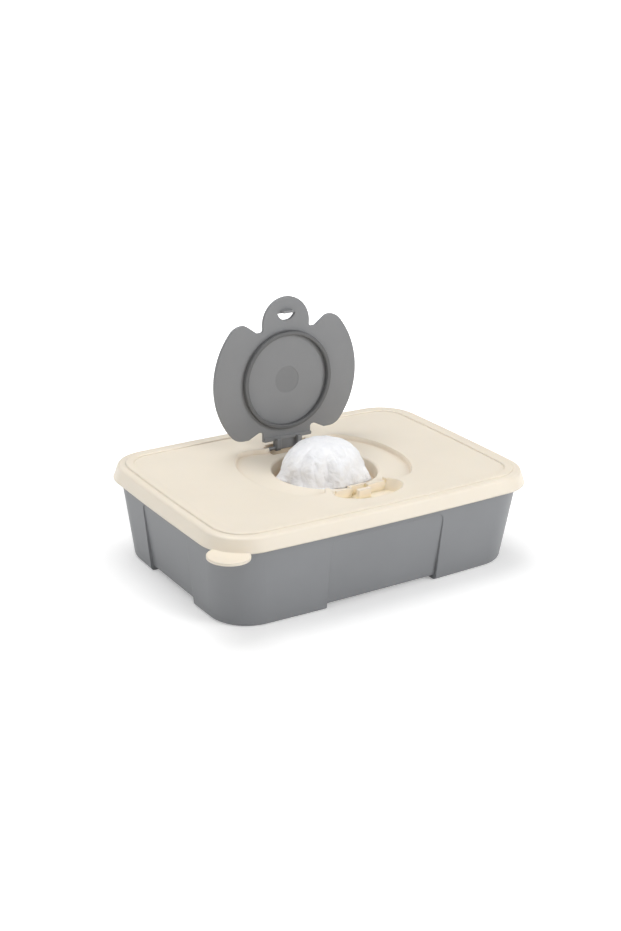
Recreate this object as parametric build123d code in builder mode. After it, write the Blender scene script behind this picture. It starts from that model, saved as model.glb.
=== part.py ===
from build123d import *
from math import cos, radians, sin
import os

os.makedirs("parts", exist_ok=True)

# Countertop wipes dispenser: a tub, a lift-off lid with a flip flap, and interfolded wipes.
# Millimetres.  The origin is on the table, in the flap's middle plane.  +X runs along the long
# side, +Y goes to the hinge side and +Z is up.  The flap is drawn standing open.

# ---------------------------------------------------------------- lid, overall
# the tub and the lid's rim are centred a little to the left of the flap
case_x = -3.2
lid_length = 230.0
lid_width = 165.4
lid_top = 60.0
skirt_bottom = 51.6
skirt_flare = 2.9
skirt_wall = 1.3
lid_wall = 1.6
lid_corner = 25.3
lid_edge_round = 1.8
long_side_bow = 2.5
short_side_bow = 1.4

# ---------------------------------------------------------------- tub
tub_wall = 1.8
tub_top_half_x = 111.3
tub_top_half_y = 79.0
tub_taper = 6.3
tub_corner = 25.3
base_round = 2.6
inner_base_round = 1.5
foot_height = 3.3
panel_half_x = 40.0
panel_half_y = 28.0
panel_top = 47.5
panel_top_depth = 0.5
panel_low_depth = 2.4
panel_corner = 5.0
panel_reach = 12.0
notch_run = 8.0

# ---------------------------------------------------------------- hinge
hinge_y = 43.5
hinge_z = 58.4
open_angle = 92.0
ring_reach = 44.6
face_offset = 0.5
pin_radius = 1.25
pin_reach = 17.6
boss_radius = 2.1
arm_inner = 6.2
arm_outer = 9.4
arm_start = 6.4
arm_depth = 2.3
tongue_end = 1.6
pocket_half = 15.5
pocket_front = 36.0
pocket_back = 47.4
pocket_floor = 51.4
socket_reach = 18.2
socket_gap = 0.08
socket_slot = 2.1

# ---------------------------------------------------------------- flap outline, about the ring centre
flap_thick = 2.2
flap_edge_round = 0.6
wing_radius = 53.2
wing_rise = 1.2
lobe_top = 39.4
lobe_low = 36.5
lobe_round = 11.0
top_notch_floor = 33.2
top_notch_x = 21.5
top_slope_x = 30.0
low_notch_floor = 32.8
low_notch_x = 21.2
low_slope_x = 28.6
notch_round = 1.8
slope_round = 6.5
tab_radius = 17.3
tab_rise = 37.2
shoulder_half = 18.0
shoulder_low = 39.6
lip_width = 2.4
lip_height = 1.0

# ---------------------------------------------------------------- tab window and hook
window_radius = 6.9
window_low = 39.2
window_high = 44.0
hook_half = 4.2
hook_start = 44.4
hook_thick = 1.5
hook_drop = 3.2

# ---------------------------------------------------------------- sealing ring
seal_inner = 29.6
seal_outer = 32.3
seal_height = 3.0
seal_groove = 0.8
seal_edge_round = 0.7
gate_radius = 8.7
gate_depth = 0.15

# ---------------------------------------------------------------- flap seat in the lid
seat_depth = 2.9
seat_radius = 52.9
seat_front_centre = -2.4
seat_back_centre = 4.0
seat_front = 40.4
seat_back = 42.9
seat_round = 11.0
seat_slope = 20.0
seat_cheek_inner = 19.0
seat_cheek_outer = 29.0
seat_cheek_y = 40.2
seat_cheek_overlap = 1.0
tooth_x = 22.6
tooth_y = -40.0
tooth_length = 6.0
tooth_width = 4.0
tooth_turn = 62.0

# ---------------------------------------------------------------- mouth
well_radius = 33.4
well_depth = 10.0
well_round = 1.4
mouth_radius = 16.0
mouth_round = 0.7

# ---------------------------------------------------------------- finger scoop, catch and ridge
scoop_x = 1.2
scoop_y = -47.4
scoop_half_x = 22.0
scoop_half_y = 12.4
scoop_floor = 52.5
scoop_slope = 15.0
scoop_back = -39.6
ridge_half = 17.9
ridge_thick = 1.2
ridge_rise = 1.4
bay_x = 0.9
bay_half = 5.6
bay_back = -36.9
block_half = 4.6
block_back = -42.0
block_front = -45.0
block_top = 58.3
block_round = 0.5

# ---------------------------------------------------------------- bead, plug wall and pull tab
bead_outer_inset = 4.6
bead_width = 5.2
bead_rise = 0.9
bead_round = 0.6
plug_half_x = 108.6
plug_half_y = 76.3
plug_corner = 22.8
plug_wall = 1.2
plug_bottom = 53.5
pull_corner_x = -87.0
pull_corner_y = -54.7
pull_reach = 30.0
pull_direction = 225.0
pull_half_length = 11.3
pull_half_width = 12.6
pull_inner = 25.8
pull_top = 52.3
pull_thick = 1.5

# ---------------------------------------------------------------- wipes
wipe_count = 24
leaf_length = 180.0
leaf_width = 100.0
leaf_pitch = 0.75
leaf_thick = 0.7
fold_shift = 0.6
stack_bottom = 2.0
tuft_neck_radius = 10.0
tuft_radius = 27.5
tuft_foot = 47.7
tuft_shoulder = 57.5
tuft_top = 75.5
tuft_crown = 6.0

# ---------------------------------------------------------------- worked-out values
top_half_x = lid_length / 2 - skirt_flare
top_half_y = lid_width / 2 - skirt_flare
under_lid = lid_top - lid_wall
seat_floor = lid_top - seat_depth
well_floor = seat_floor - well_depth
ring_y = hinge_y - ring_reach
stack_top = stack_bottom + (2 * wipe_count + 2) * leaf_pitch
above_lid = 0.4
lump_wall = 1.5
near = 0.01


def bowed_outline(half_x, half_y, corner):
    """A rectangle with gently bowed sides and round corners."""
    corner_x = half_x - short_side_bow
    corner_y = half_y - long_side_bow
    with BuildSketch() as outline:
        with BuildLine():
            ThreePointArc((-corner_x, -corner_y), (0, -half_y), (corner_x, -corner_y))
            ThreePointArc((corner_x, -corner_y), (half_x, 0), (corner_x, corner_y))
            ThreePointArc((corner_x, corner_y), (0, half_y), (-corner_x, corner_y))
            ThreePointArc((-corner_x, corner_y), (-half_x, 0), (-corner_x, -corner_y))
        make_face()
        fillet(outline.vertices(), radius=corner)
    return Location((case_x, 0, 0)) * outline.sketch


def bowed_block(low, low_size, high, high_size):
    """A block lofted between two bowed outlines; each size is (half_x, half_y, corner)."""
    with BuildPart() as block:
        with BuildSketch(Plane.XY.offset(low)):
            add(bowed_outline(*low_size))
        with BuildSketch(Plane.XY.offset(high)):
            add(bowed_outline(*high_size))
        loft(ruled=True)
    return block.part


def tub_form(inset):
    """The tub's outside form, or with an inset the hollow that leaves a wall of that thickness."""
    with BuildPart() as form:
        with BuildSketch(Plane.XY.offset(inset)):
            add(
                bowed_outline(
                    tub_top_half_x - tub_taper - inset,
                    tub_top_half_y - tub_taper - inset,
                    tub_corner - inset,
                )
            )
        with BuildSketch(Plane.XY.offset(under_lid)):
            add(bowed_outline(tub_top_half_x - inset, tub_top_half_y - inset, tub_corner - inset))
        loft(ruled=True)
        fillet(form.edges().group_by(Axis.Z)[0], radius=max(base_round - inset, inner_base_round))
        sides = [
            (Vector(0, -1, 0), tub_top_half_y, panel_half_x + inset),
            (Vector(1, 0, 0), tub_top_half_x, panel_half_y + inset),
            (Vector(0, 1, 0), tub_top_half_y, panel_half_x + inset),
            (Vector(-1, 0, 0), tub_top_half_x, panel_half_y + inset),
        ]
        for outward, top_half, panel_half in sides:
            low_reach = top_half - tub_taper - panel_low_depth - inset
            high_reach = top_half - tub_taper * (1 - panel_top / under_lid) - panel_top_depth - inset
            normal = outward * panel_top - Vector(0, 0, 1) * (high_reach - low_reach)
            panel_plane = Plane(
                origin=Vector(case_x, 0, 0) + outward * low_reach,
                x_dir=Vector(0, 0, 1).cross(outward),
                z_dir=normal,
            )
            with BuildSketch(panel_plane):
                RectangleRounded(2 * panel_half, 2 * (panel_top + inset), panel_corner)
            extrude(amount=panel_reach, mode=Mode.SUBTRACT)
            notch_plane = Plane(
                origin=Vector(case_x, 0, 0) + outward * (top_half - tub_taper - notch_run - inset),
                x_dir=Vector(0, 0, 1).cross(outward),
                z_dir=outward,
            )
            with BuildSketch(notch_plane):
                Rectangle(2 * panel_half, 2 * (foot_height + inset))
            extrude(amount=notch_run + panel_reach, mode=Mode.SUBTRACT)
    return form.part


# ================================================================ tub
tub_outside = tub_form(0)
tub_inside = tub_form(tub_wall)
with BuildPart() as tub:
    add(tub_outside)
    add(tub_inside, mode=Mode.SUBTRACT)

# ================================================================ lid
lid_outside = bowed_block(
    skirt_bottom,
    (lid_length / 2, lid_width / 2, lid_corner + skirt_flare),
    lid_top,
    (top_half_x, top_half_y, lid_corner),
)
under_flare = skirt_flare * lid_wall / (lid_top - skirt_bottom)
lid_inside = bowed_block(
    skirt_bottom,
    (lid_length / 2 - skirt_wall, lid_width / 2 - skirt_wall, lid_corner + skirt_flare - skirt_wall),
    under_lid,
    (
        top_half_x + under_flare - skirt_wall,
        top_half_y + under_flare - skirt_wall,
        lid_corner + under_flare - skirt_wall,
    ),
)
plug_size = (plug_half_x, plug_half_y, plug_corner)
plug_hollow_size = (plug_half_x - plug_wall, plug_half_y - plug_wall, plug_corner - plug_wall)
plug_outside = bowed_block(plug_bottom, plug_size, under_lid, plug_size)
plug_inside = bowed_block(plug_bottom, plug_hollow_size, under_lid, plug_hollow_size)


def seat_outline(spread):
    """The flap's seat seen from above, grown outward by the given distance."""
    with BuildSketch() as outline:
        radius = seat_radius + spread
        with Locations((0, seat_front_centre), (0, seat_back_centre)):
            Circle(radius)
        with Locations((0, (seat_front_centre + seat_back_centre) / 2)):
            Rectangle(2 * radius, seat_back_centre - seat_front_centre)
        with Locations((0, (seat_back - seat_front) / 2)):
            Rectangle(2 * radius, seat_front + seat_back + 2 * spread, mode=Mode.INTERSECT)
        fillet(outline.vertices().group_by(Axis.Y)[0], radius=seat_round)
        fillet(outline.vertices().group_by(Axis.Y)[-1], radius=seat_round)
    return outline.sketch


with BuildPart() as seat_room:
    with BuildSketch(Plane.XY.offset(seat_floor)) as seat_sketch:
        add(seat_outline(0))
        with BuildLine():
            Polyline(
                (-seat_cheek_outer, seat_back + seat_cheek_overlap),
                (-seat_cheek_inner, seat_cheek_y),
                (seat_cheek_inner, seat_cheek_y),
                (seat_cheek_outer, seat_back + seat_cheek_overlap),
                close=True,
            )
        make_face(mode=Mode.SUBTRACT)
    extrude(amount=seat_depth + above_lid, taper=-seat_slope)

with BuildPart() as scoop_room:
    with BuildSketch(Plane.XY.offset(scoop_floor)):
        with Locations((scoop_x, scoop_y)):
            Ellipse(scoop_half_x, scoop_half_y)
    extrude(amount=lid_top + above_lid - scoop_floor, taper=-scoop_slope)
    split(bisect_by=Plane.XZ.offset(-scoop_back), keep=Keep.TOP)

with BuildPart() as lid:
    add(lid_outside)
    fillet(lid.faces().sort_by(Axis.Z)[-1].edges(), radius=lid_edge_round)
    add(lid_inside, mode=Mode.SUBTRACT)
    add(plug_outside)
    add(plug_inside, mode=Mode.SUBTRACT)
    with BuildSketch(Plane.XY.offset(seat_floor - lump_wall)):
        add(seat_outline(lump_wall))
    extrude(amount=under_lid - seat_floor + lump_wall)
    with Locations((0, ring_y, (well_floor - lump_wall + under_lid) / 2)):
        Cylinder(well_radius + lump_wall, under_lid - well_floor + lump_wall)
    with BuildSketch(Plane.XY.offset(scoop_floor - lump_wall)):
        with Locations((scoop_x, scoop_y)):
            Ellipse(scoop_half_x + 2 * lump_wall, scoop_half_y + 2 * lump_wall)
    extrude(amount=under_lid - scoop_floor + lump_wall)
    with Locations((0, (pocket_front + pocket_back) / 2, (pocket_floor - lump_wall + under_lid) / 2)):
        Box(
            2 * (socket_reach + lump_wall),
            pocket_back - pocket_front + 2 * lump_wall,
            under_lid - pocket_floor + lump_wall,
        )
    add(seat_room.part, mode=Mode.SUBTRACT)
    with BuildSketch(Plane.XY.offset(seat_floor - lump_wall)):
        for side in (-1, 1):
            with Locations(Location((side * tooth_x, tooth_y), -side * tooth_turn)):
                SlotCenterToCenter(tooth_length, tooth_width)
    extrude(amount=seat_depth + lump_wall)
    with Locations((0, ring_y, (well_floor + lid_top) / 2)):
        Cylinder(well_radius, lid_top - well_floor, mode=Mode.SUBTRACT)
    with Locations((0, ring_y, well_floor)):
        Cylinder(mouth_radius, 3 * lump_wall, mode=Mode.SUBTRACT)
    fillet(
        lid.edges().filter_by(GeomType.CIRCLE).filter_by(lambda e: abs(e.radius - well_radius) < near)
        .group_by(Axis.Z)[-1],
        radius=well_round,
    )
    fillet(
        lid.edges().filter_by(GeomType.CIRCLE).filter_by(lambda e: abs(e.radius - mouth_radius) < near),
        radius=mouth_round,
    )
    # finger scoop, with the ridge along its back edge and the bay that the hook drops into
    with Locations((bay_x, (scoop_back + bay_back) / 2 + ridge_thick / 2, seat_floor)):
        Box(
            2 * (bay_half + ridge_thick),
            bay_back - scoop_back + ridge_thick,
            2 * ridge_rise,
        )
    with Locations((scoop_x, scoop_back + ridge_thick / 2, seat_floor)):
        Box(2 * ridge_half, ridge_thick, 2 * ridge_rise)
    add(scoop_room.part, mode=Mode.SUBTRACT)
    with Locations((bay_x, (scoop_back + bay_back) / 2, (scoop_floor + lid_top) / 2)):
        Box(2 * bay_half, bay_back - scoop_back, lid_top - scoop_floor, mode=Mode.SUBTRACT)
    with BuildSketch(Plane.XY.offset(scoop_floor)):
        with Locations((bay_x, (block_back + block_front) / 2)):
            RectangleRounded(2 * block_half, block_back - block_front, block_round)
    extrude(amount=block_top - scoop_floor)
    # hinge pocket with a socket at each end for the flap's pins
    with Locations((0, (pocket_front + pocket_back) / 2, (pocket_floor + lid_top) / 2)):
        Box(2 * pocket_half, pocket_back - pocket_front, lid_top - pocket_floor, mode=Mode.SUBTRACT)
    with BuildSketch(Plane.YZ.offset(-socket_reach)):
        with Locations((hinge_y, hinge_z)):
            Circle(pin_radius + socket_gap)
        with Locations((hinge_y, hinge_z + lid_top / 2)):
            Rectangle(socket_slot, lid_top)
    extrude(amount=2 * socket_reach, mode=Mode.SUBTRACT)
    # raised bead round the top, and the pull tab on one corner
    with BuildSketch(Plane.XY.offset(lid_top)):
        add(
            bowed_outline(
                top_half_x - bead_outer_inset,
                top_half_y - bead_outer_inset,
                lid_corner - bead_outer_inset,
            )
        )
        add(
            bowed_outline(
                top_half_x - bead_outer_inset - bead_width,
                top_half_y - bead_outer_inset - bead_width,
                lid_corner - bead_outer_inset - bead_width,
            ),
            mode=Mode.SUBTRACT,
        )
    extrude(amount=bead_rise)
    fillet(lid.faces().sort_by(Axis.Z)[-1].edges(), radius=bead_round)
    with BuildSketch(Plane.XY.offset(pull_top - pull_thick)):
        with Locations(Location((case_x + pull_corner_x, pull_corner_y), pull_direction)):
            with Locations((pull_reach, 0)):
                Ellipse(pull_half_length, pull_half_width)
        with Locations((case_x + pull_corner_x, pull_corner_y)):
            Circle(pull_inner, mode=Mode.SUBTRACT)
    extrude(amount=pull_thick)

# ================================================================ flap
lean = radians(open_angle - 90)
flap_up = Vector(0, sin(lean), cos(lean))
flap_inward = Vector(0, -cos(lean), sin(lean))
hinge_point = Vector(0, hinge_y, hinge_z)
inner_face = Plane(
    origin=hinge_point + flap_up * ring_reach - flap_inward * face_offset,
    x_dir=(1, 0, 0),
    z_dir=flap_inward,
)

with BuildPart() as flap:
    with BuildSketch(inner_face) as flap_sketch:
        with Locations((0, wing_rise)):
            Circle(wing_radius)
        with Locations((0, (lobe_top - lobe_low) / 2)):
            Rectangle(2 * wing_radius, lobe_top + lobe_low, mode=Mode.INTERSECT)
        fillet(flap_sketch.vertices(), radius=lobe_round)
        for side in (-1, 1):
            with BuildLine():
                Polyline(
                    (0, top_notch_floor),
                    (side * top_notch_x, top_notch_floor),
                    (side * top_slope_x, lobe_top),
                    (side * top_slope_x, tab_rise + tab_radius),
                    (0, tab_rise + tab_radius),
                    close=True,
                )
            make_face(mode=Mode.SUBTRACT)
            with BuildLine():
                Polyline(
                    (0, -low_notch_floor),
                    (side * low_notch_x, -low_notch_floor),
                    (side * low_slope_x, -lobe_low),
                    (side * low_slope_x, -ring_reach),
                    (0, -ring_reach),
                    close=True,
                )
            make_face(mode=Mode.SUBTRACT)
        top_slope_ends = flap_sketch.vertices().filter_by(lambda v: abs(abs(v.X) - top_slope_x) < near)
        low_slope_ends = flap_sketch.vertices().filter_by(lambda v: abs(abs(v.X) - low_slope_x) < near)
        fillet(top_slope_ends.filter_by(lambda v: v.Y > 0), radius=slope_round)
        fillet(low_slope_ends.filter_by(lambda v: v.Y < 0), radius=slope_round)
        with Locations((0, tab_rise)):
            Circle(tab_radius)
        with Locations((0, -shoulder_low / 2)):
            Rectangle(2 * shoulder_half, shoulder_low)
        fillet(
            flap_sketch.vertices().filter_by(
                lambda v: abs(v.Y - top_notch_floor) < near or abs(v.Y + low_notch_floor) < near
            ),
            radius=notch_round,
        )
    extrude(amount=-flap_thick)
    rim_edges = flap.edges().filter_by(lambda e: abs((e @ 0 - e @ 1).dot(flap_inward)) < near)
    fillet(
        rim_edges.filter_by(lambda e: (e @ 0.5 - inner_face.origin).dot(flap_up) > near - shoulder_low),
        radius=flap_edge_round,
    )
    # window in the tab, and the hook just above it
    with BuildSketch(inner_face):
        with Locations((0, window_low + window_radius)):
            Circle(window_radius)
        with Locations((0, window_high - window_radius)):
            Rectangle(2 * window_radius, 2 * window_radius, mode=Mode.INTERSECT)
    extrude(amount=-2 * flap_thick, mode=Mode.SUBTRACT)
    with BuildSketch(inner_face):
        with Locations((0, hook_start + hook_thick / 2)):
            RectangleRounded(2 * hook_half, hook_thick, hook_thick / 3)
    extrude(amount=hook_drop)
    # gate mark and the groove for the sealing ring
    with BuildSketch(inner_face):
        Circle(gate_radius)
    extrude(amount=-gate_depth, mode=Mode.SUBTRACT)
    with BuildSketch(inner_face):
        Circle(seal_outer)
        Circle(seal_inner, mode=Mode.SUBTRACT)
    extrude(amount=-seal_groove, mode=Mode.SUBTRACT)
    # stiff lip under each shoulder
    with BuildSketch(inner_face):
        with Locations((0, -shoulder_low + lip_width / 2)):
            RectangleRounded(2 * shoulder_half, lip_width, lip_width / 3)
    extrude(amount=lip_height)
    # tongue, arms and hinge pins
    with BuildSketch(inner_face):
        with Locations((0, -(shoulder_low + ring_reach + tongue_end) / 2)):
            Rectangle(2 * arm_outer, ring_reach + tongue_end - shoulder_low)
    extrude(amount=-flap_thick)
    for side in (-1, 1):
        arm_face = Plane(
            origin=hinge_point + Vector(side * arm_inner, 0, 0),
            x_dir=flap_up,
            z_dir=(side, 0, 0),
        )
        reach = -side * arm_depth
        back = side * (face_offset + flap_thick)
        with BuildSketch(arm_face):
            with Locations((arm_start / 2, (reach + back) / 2)):
                Rectangle(arm_start, abs(reach - back))
            Circle(boss_radius)
        extrude(amount=arm_outer - arm_inner)
        with BuildSketch(arm_face):
            Circle(pin_radius)
        extrude(amount=pin_reach - arm_inner)

# ================================================================ sealing ring
with BuildPart() as sealing_ring:
    with BuildSketch(inner_face.offset(-seal_groove)):
        Circle(seal_outer)
        Circle(seal_inner, mode=Mode.SUBTRACT)
    extrude(amount=seal_groove + seal_height)
    fillet(
        sealing_ring.edges().filter_by(GeomType.CIRCLE).sort_by(Axis(hinge_point, flap_inward))[-2:],
        radius=seal_edge_round,
    )

# ================================================================ wipes
wipes = []
for number in range(wipe_count):
    low = stack_bottom + 2 * number * leaf_pitch
    fold_height = 3 * leaf_pitch + leaf_thick
    fold_side = 1 if number % 2 == 0 else -1
    with BuildPart() as wipe:
        with Locations((0, fold_side * fold_shift, low + fold_height / 2)):
            Box(leaf_length, leaf_width, fold_height)
        with Locations((0, fold_side * (fold_shift - leaf_thick), low + fold_height / 2)):
            Box(leaf_length, leaf_width, fold_height - 2 * leaf_thick, mode=Mode.SUBTRACT)
    wipe.part.label = f"wipe_{number + 1:02d}"
    wipes.append(wipe.part)

with BuildPart() as pop_up_wipe:
    with BuildSketch(Plane.XZ.offset(-ring_y)):
        with BuildLine():
            Polyline(
                (tuft_crown, tuft_top),
                (0, tuft_top),
                (0, stack_top),
                (tuft_neck_radius, stack_top),
                (tuft_neck_radius, tuft_foot),
                (tuft_radius, tuft_foot),
                (tuft_radius, tuft_shoulder),
            )
            EllipticalCenterArc(
                (tuft_crown, tuft_shoulder),
                tuft_radius - tuft_crown,
                tuft_top - tuft_shoulder,
                start_angle=0,
                arc_size=90,
            )
        make_face()
    revolve(axis=Axis((0, ring_y, 0), (0, 0, 1)))

# ---------------------------------------------------------------- write every node
tub.part.label = "tub"
lid.part.label = "lid"
flap.part.label = "flap"
sealing_ring.part.label = "sealing_ring"
pop_up_wipe.part.label = "pop_up_wipe"
for node in [tub.part, lid.part, flap.part, sealing_ring.part, pop_up_wipe.part, *wipes]:
    export_step(node, f"parts/{node.label}.step")
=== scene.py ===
import math

import bpy
import numpy as np
from mathutils import Matrix, Vector, noise


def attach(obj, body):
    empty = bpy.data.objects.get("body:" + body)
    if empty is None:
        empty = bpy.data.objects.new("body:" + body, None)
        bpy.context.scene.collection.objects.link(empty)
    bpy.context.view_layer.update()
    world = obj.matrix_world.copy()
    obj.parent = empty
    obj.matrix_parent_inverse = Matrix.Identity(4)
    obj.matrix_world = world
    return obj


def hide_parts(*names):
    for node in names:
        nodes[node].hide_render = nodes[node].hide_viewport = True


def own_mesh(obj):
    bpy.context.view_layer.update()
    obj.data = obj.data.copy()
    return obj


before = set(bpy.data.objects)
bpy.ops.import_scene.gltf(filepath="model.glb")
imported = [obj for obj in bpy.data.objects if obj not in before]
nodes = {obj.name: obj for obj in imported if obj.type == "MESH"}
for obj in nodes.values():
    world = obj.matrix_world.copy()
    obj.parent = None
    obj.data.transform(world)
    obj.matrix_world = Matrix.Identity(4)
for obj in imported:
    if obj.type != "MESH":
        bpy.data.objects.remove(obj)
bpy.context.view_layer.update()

MM = 0.001


# ---------------------------------------------------------------- shader nodes
# the colour sockets of a Mix node: two inputs and the output
MIX_UNDER, MIX_OVER, MIX_RESULT = 6, 7, 2


def new_material(name):
    """A new material, with its node tree and its shader."""
    material = bpy.data.materials.new(name)
    material.use_nodes = True
    tree = material.node_tree
    shader = tree.nodes["Principled BSDF"]
    return material, tree, shader


def add_node(tree, kind, **values):
    """A new node; each value goes to the socket of that name, or else to the node's own setting."""
    node = tree.nodes.new(kind)
    for key, value in values.items():
        if key in node.inputs:
            node.inputs[key].default_value = value
        else:
            setattr(node, key, value)
    return node


def map_range(tree, value, start, end, low, high):
    """A number that runs from low to high while the value socket runs from start to end."""
    node = add_node(tree, "ShaderNodeMapRange")
    for key, number in zip(("From Min", "From Max", "To Min", "To Max"), (start, end, low, high)):
        node.inputs[key].default_value = number
    tree.links.new(value, node.inputs["Value"])
    return node.outputs["Result"]


def noise_map(tree, place, scale, detail, roughness=0.5, distortion=0.0):
    """The grey value of a noise texture in the piece's own coordinates."""
    texture = add_node(tree, "ShaderNodeTexNoise", Scale=scale, Detail=detail, Roughness=roughness)
    texture.inputs["Distortion"].default_value = distortion
    tree.links.new(place.outputs["Object"], texture.inputs["Vector"])
    return texture.outputs["Fac"]


def two_tone(tree, factor, low, high):
    """A colour that runs from low to high with the factor socket."""
    ramp = add_node(tree, "ShaderNodeValToRGB")
    ramp.color_ramp.elements[0].position = 0.3
    ramp.color_ramp.elements[1].position = 0.7
    ramp.color_ramp.elements[0].color = (*low, 1)
    ramp.color_ramp.elements[1].color = (*high, 1)
    tree.links.new(factor, ramp.inputs["Fac"])
    return ramp.outputs["Color"]


def blend_node(tree, factor, under):
    """A Mix node that leaves the under socket's colour as the factor socket grows."""
    node = add_node(tree, "ShaderNodeMix", data_type="RGBA")
    tree.links.new(factor, node.inputs["Factor"])
    tree.links.new(under, node.inputs[MIX_UNDER])
    return node


def ball_value(tree, place, centre, reach, soft, within, beyond):
    """A number that is within inside the ball and beyond outside it, over an edge of twice soft."""
    off = add_node(tree, "ShaderNodeVectorMath", operation="DISTANCE")
    tree.links.new(place.outputs["Object"], off.inputs[0])
    off.inputs[1].default_value = centre
    return map_range(tree, off.outputs["Value"], reach - soft, reach + soft, within, beyond)


def bump(tree, height, strength, distance, normal=None):
    """The normal that the height socket bends, on top of the given normal."""
    node = add_node(tree, "ShaderNodeBump", Strength=strength, Distance=distance)
    tree.links.new(height, node.inputs["Height"])
    if normal:
        tree.links.new(normal, node.inputs["Normal"])
    return node.outputs["Normal"]


def either_ray(tree, first, second):
    """1 for rays of either kind, and 0 for the others."""
    path = add_node(tree, "ShaderNodeLightPath")
    seen = add_node(tree, "ShaderNodeMath", operation="MAXIMUM")
    tree.links.new(path.outputs[first], seen.inputs[0])
    tree.links.new(path.outputs[second], seen.inputs[1])
    return seen.outputs[0]


# ---------------------------------------------------------------- materials
# painted shade and painted bounce light go into hollows, which are found within this distance, in
# metres, and between these shares of open sky
HOLLOW_REACH = 0.0045
HOLLOW_SHUT, HOLLOW_OPEN = 0.25, 0.97
HOLLOW_SOFT = 0.0015
MARK_TONE = 0.86
MARK_SOFT = 0.0001
CLOTH_LOW_SHARES = (0.91, 0.92, 0.945)


def painted_hollow_tone(tree, place, tone, balls):
    """The painted tone of hollows, painted shade or painted bounce light: the colour of the last ball
    that holds the point, or else tone.
    """
    for centre, reach, colour in balls:
        inside = ball_value(tree, place, centre, reach, HOLLOW_SOFT, 1.0, 0.0)
        blend = blend_node(tree, inside, tone)
        blend.inputs[MIX_OVER].default_value = (*colour, 1)
        tone = blend.outputs[MIX_RESULT]
    return tone


def plastic(name, colour, roughness, edge, grain=0.04, shade=0.04, sss=0.0, painted_hollows=(), mark=None):
    """Moulded plastic: faint cloudiness, a fine grain and softened edges.

    painted_hollows lists balls, each with its centre, radius and the tone painted into the hollows in
    it: painted shade, or painted bounce light where that tone is lighter, mixed in as far as the AO
    node finds the point shut in. mark is a ball's
    centre and radius: where it cuts the surface the tone is a little darker. Lengths are in metres.
    """
    material, tree, shader = new_material(name)
    place = add_node(tree, "ShaderNodeTexCoord")
    cloud = noise_map(tree, place, 22.0, 4.0, roughness=0.6)
    low = tuple(c * (1 - shade) for c in colour)
    high = tuple(min(1.0, c * (1 + shade)) for c in colour)
    tone = two_tone(tree, cloud, low, high)
    # painted light: in the hollows that the AO node finds, the tone moves to the ball's colour, as
    # painted shade or painted bounce light
    if painted_hollows:
        sky = add_node(tree, "ShaderNodeAmbientOcclusion", samples=8, Distance=HOLLOW_REACH)
        hollow = map_range(tree, sky.outputs["AO"], HOLLOW_SHUT, HOLLOW_OPEN, 1.0, 0.0)
        painted_light_mix = blend_node(tree, hollow, tone)
        tree.links.new(painted_hollow_tone(tree, place, tone, painted_hollows), painted_light_mix.inputs[MIX_OVER])
        tone = painted_light_mix.outputs[MIX_RESULT]
    if mark:
        centre, reach = mark
        marked = add_node(tree, "ShaderNodeVectorMath", operation="SCALE")
        tree.links.new(tone, marked.inputs[0])
        share = ball_value(tree, place, centre, reach, MARK_SOFT, MARK_TONE, 1.0)
        tree.links.new(share, marked.inputs["Scale"])
        tone = marked.outputs["Vector"]
    tree.links.new(tone, shader.inputs["Base Color"])
    spread = map_range(tree, cloud, 0.0, 1.0, roughness - 0.05, roughness + 0.07)
    tree.links.new(spread, shader.inputs["Roughness"])
    softened = add_node(tree, "ShaderNodeBevel", samples=6, Radius=edge)
    fine = noise_map(tree, place, 1400.0, 2.0)
    grained = bump(tree, fine, grain, 0.0002, softened.outputs["Normal"])
    tree.links.new(grained, shader.inputs["Normal"])
    if sss:
        shader.inputs["Subsurface Weight"].default_value = sss
        shader.inputs["Subsurface Radius"].default_value = (0.004, 0.003, 0.002)
        shader.inputs["Subsurface Scale"].default_value = 1.0
    return material


def wipe_cloth(name, colour):
    """Damp non-woven cloth: crinkles, a fibrous mottle and fine fibres."""
    material, tree, shader = new_material(name)
    place = add_node(tree, "ShaderNodeTexCoord")
    mottle = noise_map(tree, place, 160.0, 6.0, roughness=0.65)
    fibre = noise_map(tree, place, 1500.0, 3.0, distortion=1.2)
    crinkle = noise_map(tree, place, 85.0, 5.0, roughness=0.62, distortion=1.6)
    low = tuple(c * share for c, share in zip(colour, CLOTH_LOW_SHARES))
    tree.links.new(two_tone(tree, mottle, low, colour), shader.inputs["Base Color"])
    shader.inputs["Roughness"].default_value = 0.62
    shader.inputs["Subsurface Weight"].default_value = 0.05
    shader.inputs["Subsurface Radius"].default_value = (0.003, 0.003, 0.003)
    shader.inputs["Subsurface Scale"].default_value = 1.0
    shader.inputs["Sheen Weight"].default_value = 0.15
    folded = bump(tree, crinkle, 0.7, 0.002)
    mottled = bump(tree, mottle, 0.25, 0.0006, folded)
    tree.links.new(bump(tree, fibre, 0.35, 0.0003, mottled), shader.inputs["Normal"])
    return material


# the gate mark on the flap's inner face: where a ball centred in front of the face cuts it
to_flap = nodes["flap"].matrix_world.inverted()
GATE_BALL = (to_flap @ Vector((0.0, 0.02557, 0.10365)), 0.02182)
# painted light in hollows: painted shade, browner, in the seat and the well, and painted bounce light,
# lighter and yellower, in the finger scoop
to_lid = nodes["lid"].matrix_world.inverted()
SEAT_SHADE_BALL = (to_lid @ Vector((0.0, 0.001, 0.057)), 0.0595, (0.7, 0.55, 0.4))
SCOOP_BOUNCE_BALL = (to_lid @ Vector((0.0012, -0.05, 0.057)), 0.023, (1.0, 0.88, 0.62))

grey_plastic = plastic("grey_plastic", (0.25, 0.257, 0.268), 0.42, 0.0012, grain=0.05)
flap_plastic = plastic("flap_plastic", (0.24, 0.245, 0.253), 0.4, 0.0006, mark=GATE_BALL)
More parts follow.
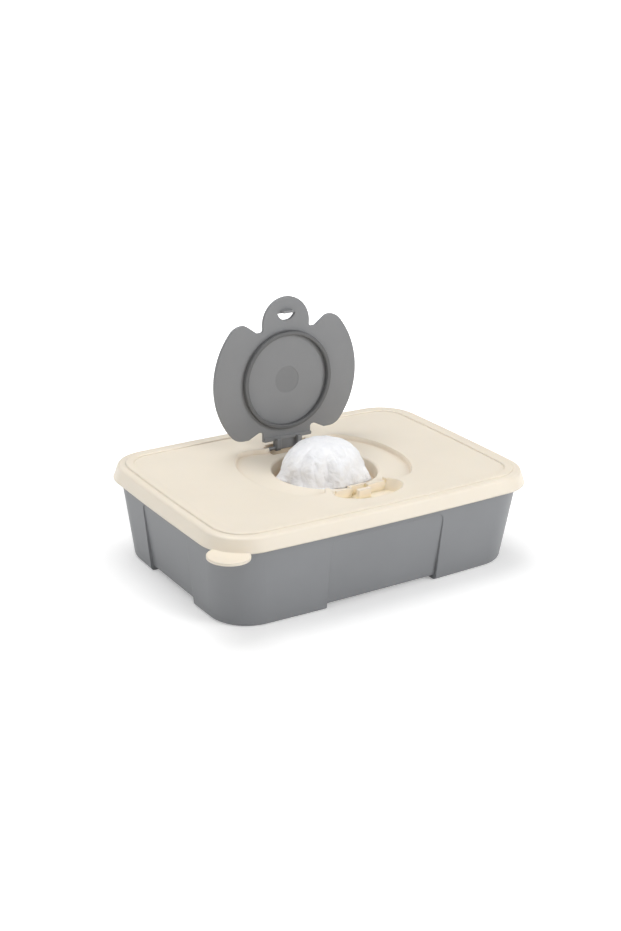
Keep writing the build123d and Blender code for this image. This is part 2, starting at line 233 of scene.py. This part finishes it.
# the cream plastic takes painted shade and painted bounce light in its hollows
cream_plastic = plastic(
    "cream_plastic", (0.9, 0.81, 0.68), 0.38, 0.0011, grain=0.03, shade=0.015, sss=0.12,
    painted_hollows=(SEAT_SHADE_BALL, SCOOP_BOUNCE_BALL),
)
seal_rubber = plastic("seal_rubber", (0.125, 0.127, 0.13), 0.5, 0.0004, grain=0.06)
cloth = wipe_cloth("wipe_cloth", (0.99, 0.99, 1.0))


def dress(node, material):
    data = nodes[node].data
    data.materials.clear()
    data.materials.append(material)


dress("tub", grey_plastic)
dress("lid", cream_plastic)
dress("flap", flap_plastic)
dress("sealing_ring", seal_rubber)


# ---------------------------------------------------------------- cloth
def cloth_object(name, verts, faces, thickness, offset=0.0):
    """A smooth piece of cloth with the given thickness, in metres."""
    data = bpy.data.meshes.new(name)
    data.from_pydata([tuple(v) for v in verts], [], faces)
    data.update()
    data.polygons.foreach_set("use_smooth", [True] * len(data.polygons))
    data.materials.append(cloth)
    piece = bpy.data.objects.new(name, data)
    bpy.context.collection.objects.link(piece)
    solid = piece.modifiers.new("thickness", "SOLIDIFY")
    solid.thickness = thickness
    solid.offset = offset
    return piece


# tuft: one wipe drawn up through the mouth and flopped over. Lengths are in mm; angles run round
# the well from the camera's side and increase to the right
RING_Y = -1.1
FRONT_ANGLE = -122.8
TUFT_TOP = 76.6
TUFT_RADIUS = 27.4
DOME_FULLNESS = 0.74
TURN_STEPS, DOWN_STEPS = 360, 80
# sideways lean by height
LEAN_HEIGHTS = [54.0, 65.0, 76.6]
LEAN_AMOUNTS = [0.0, -1.5, 1.0]
# each furrow's angle, depth, half-width in degrees, swing on the way down and where it starts
FURROWS = [
    (6.0, 5.0, 10.5, -12.0, 0.12), (-25.0, 3.0, 10.0, -16.0, 0.42), (-56.0, 2.6, 9.0, 8.0, 0.62),
    (-101.0, 4.4, 11.0, 12.0, 0.25), (-142.0, 3.2, 10.0, -9.0, 0.45), (171.0, 4.8, 12.0, 8.0, 0.2),
    (128.0, 3.6, 10.0, -10.0, 0.4), (92.0, 2.8, 9.0, 8.0, 0.55), (44.0, 1.5, 12.0, -14.0, 0.5),
]
FURROW_GROWTH = 1.3
FURROW_SHARPNESS = 1.7
# the swelling on either side of a furrow: its share of the depth, its place and its sharpness
SWELL_SHARE, SWELL_PLACE, SWELL_SHARPNESS = 0.4, 1.9, 1.3
# creases: scale, shift, depth and width of each layer of noise
CREASE_LAYERS = [(1.0, (0.0, 0.0, 0.0), 0.8, 0.11), (2.3, (9.1, 3.3, 5.7), 0.3, 0.12)]
CREASE_TURN, CREASE_RUN = 2.1, 0.055
CREASE_SHARPNESS = 1.4
CREASE_CROWN = 16.0
WRINKLE_DEPTH = 0.8
WRINKLE_CROWN = 8.0
WRINKLE_RISE = 0.35
# height of the hem and how far it spreads, by angle
HEM_ANGLES = [
    -180, -130, -100, -84, -70, -60, -45, -24, -8, 2, 9, 16, 26, 40, 54, 68, 80, 92, 110, 140, 180,
]
HEM_HEIGHTS = [
    49.5, 49.2, 50.2, 52.4, 54.6, 55.2, 54.0, 53.4, 53.0, 53.2, 53.9, 54.8, 54.9, 54.7, 54.4, 54.0,
    53.6, 52.2, 50.0, 49.3, 49.5,
]
HEM_SPREAD = [
    0, 0, 0, 0.6, 3.0, 4.2, 4.0, 3.6, 3.8, 3.4, 2.0, 0.6, 0.2, 0.4, 0.8, 1.2, 1.6, 1.2, 0.6, 0.2, 0,
]
SPREAD_POWER = 10
# the hem's turned-in rings: how far in and how far up
HEM_RINGS = [(0.6, -0.35), (1.8, -0.1), (3.6, 0.3)]
NECK_RADIUS = 14.0
NECK_WAVES, NECK_WAVE_DEPTH = 11, 0.9
NECK_TOP, NECK_FOOT = 48.4, 40.2
NECK_STEPS = 12


def around(angle, centre):
    """The angle from centre, between -180 and 180 degrees."""
    return (angle - centre + 180) % 360 - 180


def tuft_point(angle, down):
    """Radius, height and lean of the outer cloth; down runs from 0 at the top to 1 at the hem."""
    hem = np.interp(angle, HEM_ANGLES, HEM_HEIGHTS)
    spread = np.interp(angle, HEM_ANGLES, HEM_SPREAD)
    slope = down * math.pi / 2
    radius = TUFT_RADIUS * math.sin(slope) ** DOME_FULLNESS + spread * down**SPREAD_POWER
    height = hem + (TUFT_TOP - hem) * math.cos(slope)
    for centre, depth, half, swing, begin in FURROWS:
        grow = max(0.0, (down - begin) / (1 - begin)) ** FURROW_GROWTH
        off = abs(around(angle, centre + swing * (down - 0.5))) / (half * (0.75 + 0.5 * down))
        swell = SWELL_SHARE * math.exp(-SWELL_SHARPNESS * (off - SWELL_PLACE) ** 2)
        radius -= depth * grow * (math.exp(-(off**FURROW_SHARPNESS)) - swell)
    return radius, height, np.interp(height, LEAN_HEIGHTS, LEAN_AMOUNTS)


def crease(angle, radius, height):
    """Depth of the thin creases that run down the cloth, fading out near its crown."""
    way = math.radians(angle)
    place = Vector((CREASE_TURN * math.cos(way), CREASE_TURN * math.sin(way), height * CREASE_RUN))
    depth = 0.0
    for scale, shift, deepest, width in CREASE_LAYERS:
        off = abs(noise.noise(place * scale + Vector(shift)))
        depth += deepest * math.exp(-((off / width) ** CREASE_SHARPNESS))
    return depth * min(1.0, radius / CREASE_CROWN)


def neck_radius(angle):
    return NECK_RADIUS + NECK_WAVE_DEPTH * math.sin(math.radians(angle) * NECK_WAVES)


def hem_point(angle, inward, rise):
    """A point of the turned-in hem, which doesn't lean."""
    radius, height, _ = tuft_point(angle, 1)
    return radius - inward, height + rise, 0


def under_point(angle, share):
    """A point of the cloth's underside; share runs from 0 at the hem to 1 at the neck."""
    inward, rise = HEM_RINGS[-1]
    radius, height, _ = tuft_point(angle, 1)
    start = radius - inward
    smooth = share * share * (3 - 2 * share)
    return start + (neck_radius(angle) - start) * smooth, height + rise + (NECK_TOP - height) * share, 0


def neck_point(angle, share):
    """A point of the neck; share runs from 0 at its top to 1 at its foot."""
    start = NECK_TOP + HEM_RINGS[-1][1]
    return neck_radius(angle), start - (start - NECK_FOOT) * share, 0


def build_tuft():
    start = math.radians(FRONT_ANGLE)
    right = (math.cos(start + math.pi / 2), math.sin(start + math.pi / 2))
    neck_shares = [j / NECK_STEPS for j in range(1, NECK_STEPS + 1)]
    rows = [(tuft_point, (j / DOWN_STEPS,)) for j in range(1, DOWN_STEPS + 1)]
    rows += [(hem_point, ring) for ring in HEM_RINGS]
    rows += [(under_point, (share,)) for share in neck_shares]
    rows += [(neck_point, (share,)) for share in neck_shares]
    verts, faces = [], []
    for point, values in rows:
        for k in range(TURN_STEPS):
            angle = -180 + 360 * k / TURN_STEPS
            radius, height, lean = point(angle, *values)
            way = start + math.radians(angle)
            x = radius * math.cos(way) + lean * right[0]
            y = RING_Y + radius * math.sin(way) + lean * right[1]
            swell = noise.fractal(Vector((x * 0.11, y * 0.11, height * 0.07)), 1.0, 2.1, 3)
            wrinkle = swell * WRINKLE_DEPTH - crease(angle, radius, height)
            x += wrinkle * math.cos(way) * min(1.0, radius / WRINKLE_CROWN)
            y += wrinkle * math.sin(way) * min(1.0, radius / WRINKLE_CROWN)
            verts.append((x * MM, y * MM, (height + WRINKLE_RISE * wrinkle) * MM))
    for upper in range(0, (len(rows) - 1) * TURN_STEPS, TURN_STEPS):
        lower = upper + TURN_STEPS
        for k in range(TURN_STEPS):
            after = (k + 1) % TURN_STEPS
            faces.append((upper + k, lower + k, lower + after, upper + after))
    crown = len(verts)
    lean = LEAN_AMOUNTS[-1]
    verts.append((lean * right[0] * MM, (RING_Y + lean * right[1]) * MM, (TUFT_TOP + 0.05) * MM))
    faces += [(crown, k, (k + 1) % TURN_STEPS) for k in range(TURN_STEPS)]
    return cloth_object("wipe_tuft", verts, faces, 0.0005, -1.0)


tuft = build_tuft()
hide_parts("pop_up_wipe")
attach(tuft, "lid")
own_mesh(tuft)

# stack: each wipe is one sheet folded once, its open edge between the leaves of its neighbour
WIPE_COUNT = 24
LEAF_LENGTH, LEAF_WIDTH = 180.0, 100.0
END_TRIM, SIDE_TRIM = 0.3, 0.35
LEAF_GAP = 2.25
STACK_BOTTOM, WIPE_STEP, WIPE_SHIFT = 2.35, 1.5, 0.6
ACROSS_STEPS = 46
EDGE_WAVE = 0.3
LEAF_LIFT = 0.05
# the top leaf of the stack, above this height in its wipe, lies looser: its mean lift, its waves
# and how its sides come down
UPPER_FROM = 1.2
TOP_LIFT, TOP_WAVE = 0.5, 0.55
TOP_MARGIN, TOP_FALL = 6, 12


def leaf_run(near_shift, far_shift):
    """The folded sheet's line seen from its end: the lower leaf, the fold and the upper leaf."""
    half = LEAF_WIDTH / 2 - SIDE_TRIM
    bend = LEAF_GAP / 2
    flat = np.linspace(-half + 6, half - 2, 14)
    turns = np.linspace(-math.pi / 2, math.pi / 2, 9)
    run = [(-half + near_shift, 0.0)] + [(y, 0.0) for y in flat]
    run += [(half - bend + bend * math.cos(t), bend + bend * math.sin(t)) for t in turns]
    return run + [(y, LEAF_GAP) for y in flat[::-1]] + [(-half + far_shift, LEAF_GAP)]


def build_folded(number):
    side = 1 if number % 2 == 0 else -1
    low = STACK_BOTTOM + WIPE_STEP * number
    rng = np.random.default_rng(100 + number)
    _, near_shift, far_shift = rng.uniform(-0.35, 0.35, 3)
    run = leaf_run(near_shift, far_shift)
    reach = LEAF_WIDTH / 2 - SIDE_TRIM + TOP_MARGIN
    across = np.linspace(-LEAF_LENGTH / 2 + END_TRIM, LEAF_LENGTH / 2 - END_TRIM, ACROSS_STEPS)
    topmost = number == WIPE_COUNT - 1
    verts, faces = [], []
    for x in across:
        for k, (y, z) in enumerate(run):
            wave = EDGE_WAVE * noise.noise(Vector((x * 0.04, number * 3.7, k * 0.2)))
            lift = LEAF_LIFT * noise.noise(Vector((x * 0.05, y * 0.05, number * 2.1)))
            if topmost and z > UPPER_FROM:
                lift += TOP_LIFT + TOP_WAVE * noise.noise(Vector((x * 0.025, y * 0.03, 7.7)))
                lift *= min(1.0, (reach - abs(y)) / TOP_FALL)
            edge = EDGE_WAVE * noise.noise(Vector((y * 0.08, number * 1.9, 3.0))) * (abs(x) / 90) ** 8
            verts.append((
                (x + edge) * MM,
                side * (y + WIPE_SHIFT + wave) * MM,
                (low + z + lift) * MM,
            ))
    count = len(run)
    for i in range(ACROSS_STEPS - 1):
        for k in range(count - 1):
            a = i * count + k
            quad = (a, a + 1, a + count + 1, a + count)
            faces.append(quad if side < 0 else quad[::-1])
    piece = cloth_object(f"folded_wipe_{number + 1:02d}", verts, faces, 0.00045)
    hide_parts(f"wipe_{number + 1:02d}")
    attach(piece, "base")


for number in range(WIPE_COUNT):
    build_folded(number)


# ---------------------------------------------------------------- floor, light and camera
# the floor's glow beside the object, and the distances between which it turns plain white
FLOOR_GLOW = 0.3
FADE_START, FADE_END = 0.16, 0.45
WORLD_FILL = 0.3
LAMP_TARGET = (0, 0, 0.05)


def floor_material():
    """White floor that keeps the object's shadow near it and turns plain white further off."""
    material, tree, shader = new_material("floor")
    shader.inputs["Base Color"].default_value = (0.9, 0.9, 0.9, 1)
    shader.inputs["Roughness"].default_value = 0.9
    shader.inputs["Specular IOR Level"].default_value = 0.1
    place = add_node(tree, "ShaderNodeNewGeometry")
    away = add_node(tree, "ShaderNodeVectorMath", operation="LENGTH")
    tree.links.new(place.outputs["Position"], away.inputs[0])
    fade = map_range(tree, away.outputs["Value"], FADE_START, FADE_END, FLOOR_GLOW, 1.0)
    level = add_node(tree, "ShaderNodeMath", operation="MULTIPLY")
    tree.links.new(either_ray(tree, "Is Camera Ray", "Is Glossy Ray"), level.inputs[0])
    tree.links.new(fade, level.inputs[1])
    shader.inputs["Emission Color"].default_value = (1, 1, 1, 1)
    tree.links.new(level.outputs[0], shader.inputs["Emission Strength"])
    return material


bpy.ops.mesh.primitive_plane_add(size=12, location=(0, 0, 0))
floor = bpy.context.object
floor.name = "floor"
floor.data.materials.append(floor_material())

world = bpy.data.worlds.new("studio")
bpy.context.scene.world = world
world.use_nodes = True
sky = world.node_tree
background = sky.nodes["Background"]
seen = either_ray(sky, "Is Camera Ray", "Is Transmission Ray")
background.inputs["Color"].default_value = (1, 1, 1, 1)
sky.links.new(map_range(sky, seen, 0.0, 1.0, WORLD_FILL, 1.0), background.inputs["Strength"])


def soft_box(name, place, size, power):
    """A square area lamp that faces the object."""
    data = bpy.data.lights.new(name, "AREA")
    data.shape = "SQUARE"
    data.size = size
    data.energy = power
    lamp = bpy.data.objects.new(name, data)
    bpy.context.collection.objects.link(lamp)
    lamp.location = place
    lamp.rotation_euler = (Vector(LAMP_TARGET) - Vector(place)).to_track_quat("-Z", "Y").to_euler()


soft_box("top_box", (-0.1, 0.35, 1.5), 1.1, 13.5)
soft_box("front_box", (0.75, -1.2, 0.7), 0.8, 11.0)
soft_box("left_box", (-1.3, -0.2, 0.7), 0.9, 3.6)

view_data = bpy.data.cameras.new("photo_camera")
view_data.sensor_width = 36
view_data.lens = 55.985
view_data.clip_start = 0.01
camera = bpy.data.objects.new("photo_camera", view_data)
bpy.context.collection.objects.link(camera)
right = Vector((0.84442, -0.53538, 0.01792))
up = Vector((0.1778, 0.31167, 0.93341))
back = -Vector((0.50532, 0.785, -0.35837))
turn = Matrix((right, up, back)).transposed().to_4x4()
turn.translation = Vector((-468.08, -711.7, 385.69)) * MM
camera.matrix_world = turn
bpy.context.scene.camera = camera
bpy.context.scene.view_settings.view_transform = "Standard"
